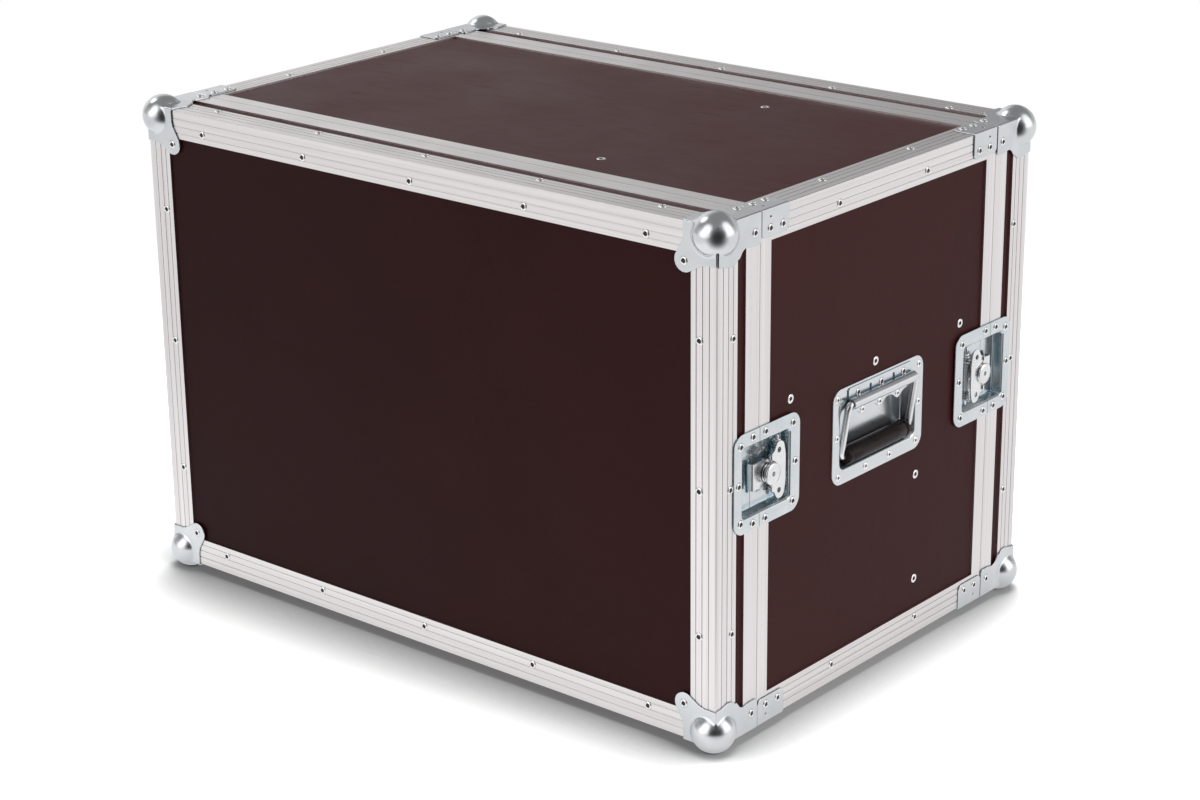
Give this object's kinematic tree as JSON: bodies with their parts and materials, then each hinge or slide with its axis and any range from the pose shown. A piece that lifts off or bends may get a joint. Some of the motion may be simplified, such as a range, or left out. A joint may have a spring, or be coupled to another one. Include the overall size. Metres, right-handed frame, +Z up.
{
  "type": "equipment rack case",
  "caption": "Plywood flight case for 19-inch rack equipment, with removable front and rear lids, recessed butterfly latches, folding side handles and ball corners.",
  "frame": {"origin": "on the floor under the middle of the closed case", "axes": "+Z up, -Y towards the front lid, +X towards the right-hand carrying handle"},
  "size_m": [0.5674, 0.3976, 0.3902],
  "materials": {
    "phenolic_ply": "smooth brown phenolic film, satin",
    "aluminium_extrusion": "mill-finish extrusion, satin, with fine length-wise lines",
    "zinc_steel": "pressed sheet, bright zinc plating",
    "latch_steel": "bright zinc or chrome plating",
    "rail_steel": "zinc-plated steel strip",
    "grip": "moulded dark plastic grip on a plated rod"
  },
  "bodies": {
    "body": {"side_panel_left": "phenolic_ply", "side_panel_right": "phenolic_ply", "top_panel": "phenolic_ply", "bottom_panel": "phenolic_ply", "edge_angle_top_left": "aluminium_extrusion", "edge_angle_top_right": "aluminium_extrusion", "edge_angle_bottom_left": "aluminium_extrusion", "edge_angle_bottom_right": "aluminium_extrusion", "front_rim": "aluminium_extrusion", "rear_rim": "aluminium_extrusion", "corner_brace_top_front_left": "zinc_steel", "corner_brace_top_front_right": "zinc_steel", "corner_brace_top_rear_left": "zinc_steel", "corner_brace_top_rear_right": "zinc_steel", "corner_brace_bottom_front_left": "zinc_steel", "corner_brace_bottom_front_right": "zinc_steel", "corner_brace_bottom_rear_left": "zinc_steel", "corner_brace_bottom_rear_right": "zinc_steel", "rack_rail_front_left": "rail_steel", "rack_rail_front_right": "rail_steel", "rack_rail_rear_left": "rail_steel", "rack_rail_rear_right": "rail_steel", "latch_dish_front_left": "zinc_steel", "latch_dish_front_right": "zinc_steel", "latch_dish_rear_left": "zinc_steel", "latch_dish_rear_right": "zinc_steel", "handle_dish_left": "zinc_steel", "handle_dish_right": "zinc_steel"},
    "front_lid": {"front_lid_tray": "phenolic_ply", "front_lid_edge_frame": "aluminium_extrusion", "front_lid_rim": "aluminium_extrusion", "ball_corner_top_front_left": "zinc_steel", "ball_corner_top_front_right": "zinc_steel", "ball_corner_bottom_front_left": "zinc_steel", "ball_corner_bottom_front_right": "zinc_steel", "latch_keeper_front_left": "zinc_steel", "latch_keeper_front_right": "zinc_steel"},
    "rear_lid": {"rear_lid_tray": "phenolic_ply", "rear_lid_edge_frame": "aluminium_extrusion", "rear_lid_rim": "aluminium_extrusion", "ball_corner_top_rear_left": "zinc_steel", "ball_corner_top_rear_right": "zinc_steel", "ball_corner_bottom_rear_left": "zinc_steel", "ball_corner_bottom_rear_right": "zinc_steel", "latch_keeper_rear_left": "zinc_steel", "latch_keeper_rear_right": "zinc_steel"},
    "handle_left": {"handle_bail_left": "grip"},
    "handle_right": {"handle_bail_right": "grip"},
    "key_front_left": {"latch_key_front_left": "latch_steel"},
    "wing_front_left": {"latch_wing_front_left": "latch_steel"},
    "hook_front_left": {"latch_hook_front_left": "latch_steel"},
    "key_front_right": {"latch_key_front_right": "latch_steel"},
    "wing_front_right": {"latch_wing_front_right": "latch_steel"},
    "hook_front_right": {"latch_hook_front_right": "latch_steel"},
    "key_rear_left": {"latch_key_rear_left": "latch_steel"},
    "wing_rear_left": {"latch_wing_rear_left": "latch_steel"},
    "hook_rear_left": {"latch_hook_rear_left": "latch_steel"},
    "key_rear_right": {"latch_key_rear_right": "latch_steel"},
    "wing_rear_right": {"latch_wing_rear_right": "latch_steel"},
    "hook_rear_right": {"latch_hook_rear_right": "latch_steel"}
  },
  "joints": [
    {"name": "front_lid_off", "type": "slide", "parent": "body", "child": "front_lid", "axis": [0, -1, 0], "range_m": [0, 0.15]},
    {"name": "rear_lid_off", "type": "slide", "parent": "body", "child": "rear_lid", "axis": [0, 1, 0], "range_m": [0, 0.15]},
    {"name": "handle_left_swing", "type": "hinge", "parent": "body", "child": "handle_left", "pos_m": [-0.2789, 0, 0.2185], "axis": [0, 1, 0], "range_deg": [0, 90]},
    {"name": "handle_right_swing", "type": "hinge", "parent": "body", "child": "handle_right", "pos_m": [0.2789, 0, 0.2185], "axis": [0, -1, 0], "range_deg": [0, 90]},
    {"name": "key_front_left_turn", "type": "hinge", "parent": "body", "child": "key_front_left", "pos_m": [-0.276, -0.1333, 0.195], "axis": [-1, 0, 0], "range_deg": [0, 180]},
    {"name": "wing_front_left_fold", "type": "hinge", "parent": "key_front_left", "child": "wing_front_left", "pos_m": [-0.2784, -0.1333, 0.195], "axis": [0, 0, 1], "range_deg": [0, 90]},
    {"name": "hook_front_left_slide", "type": "slide", "parent": "body", "child": "hook_front_left", "axis": [0, -1, 0], "range_m": [0, 0.008]},
    {"name": "key_front_right_turn", "type": "hinge", "parent": "body", "child": "key_front_right", "pos_m": [0.276, -0.1333, 0.195], "axis": [1, 0, 0], "range_deg": [0, 180]},
    {"name": "wing_front_right_fold", "type": "hinge", "parent": "key_front_right", "child": "wing_front_right", "pos_m": [0.2784, -0.1333, 0.195], "axis": [0, 0, -1], "range_deg": [0, 90]},
    {"name": "hook_front_right_slide", "type": "slide", "parent": "body", "child": "hook_front_right", "axis": [0, -1, 0], "range_m": [0, 0.008]},
    {"name": "key_rear_left_turn", "type": "hinge", "parent": "body", "child": "key_rear_left", "pos_m": [-0.276, 0.1333, 0.195], "axis": [-1, 0, 0], "range_deg": [0, 180]},
    {"name": "wing_rear_left_fold", "type": "hinge", "parent": "key_rear_left", "child": "wing_rear_left", "pos_m": [-0.2784, 0.1333, 0.195], "axis": [0, 0, -1], "range_deg": [0, 90]},
    {"name": "hook_rear_left_slide", "type": "slide", "parent": "body", "child": "hook_rear_left", "axis": [0, 1, 0], "range_m": [0, 0.008]},
    {"name": "key_rear_right_turn", "type": "hinge", "parent": "body", "child": "key_rear_right", "pos_m": [0.276, 0.1333, 0.195], "axis": [1, 0, 0], "range_deg": [0, 180]},
    {"name": "wing_rear_right_fold", "type": "hinge", "parent": "key_rear_right", "child": "wing_rear_right", "pos_m": [0.2784, 0.1333, 0.195], "axis": [0, 0, 1], "range_deg": [0, 90]},
    {"name": "hook_rear_right_slide", "type": "slide", "parent": "body", "child": "hook_rear_right", "axis": [0, 1, 0], "range_m": [0, 0.008]}
  ],
  "couplings": [
    {"joint": "hook_front_left_slide", "follows": "key_front_left_turn", "m_per_rad": 0.0025464},
    {"joint": "hook_front_right_slide", "follows": "key_front_right_turn", "m_per_rad": 0.0025464},
    {"joint": "hook_rear_left_slide", "follows": "key_rear_left_turn", "m_per_rad": 0.0025464},
    {"joint": "hook_rear_right_slide", "follows": "key_rear_right_turn", "m_per_rad": 0.0025464}
  ]
}
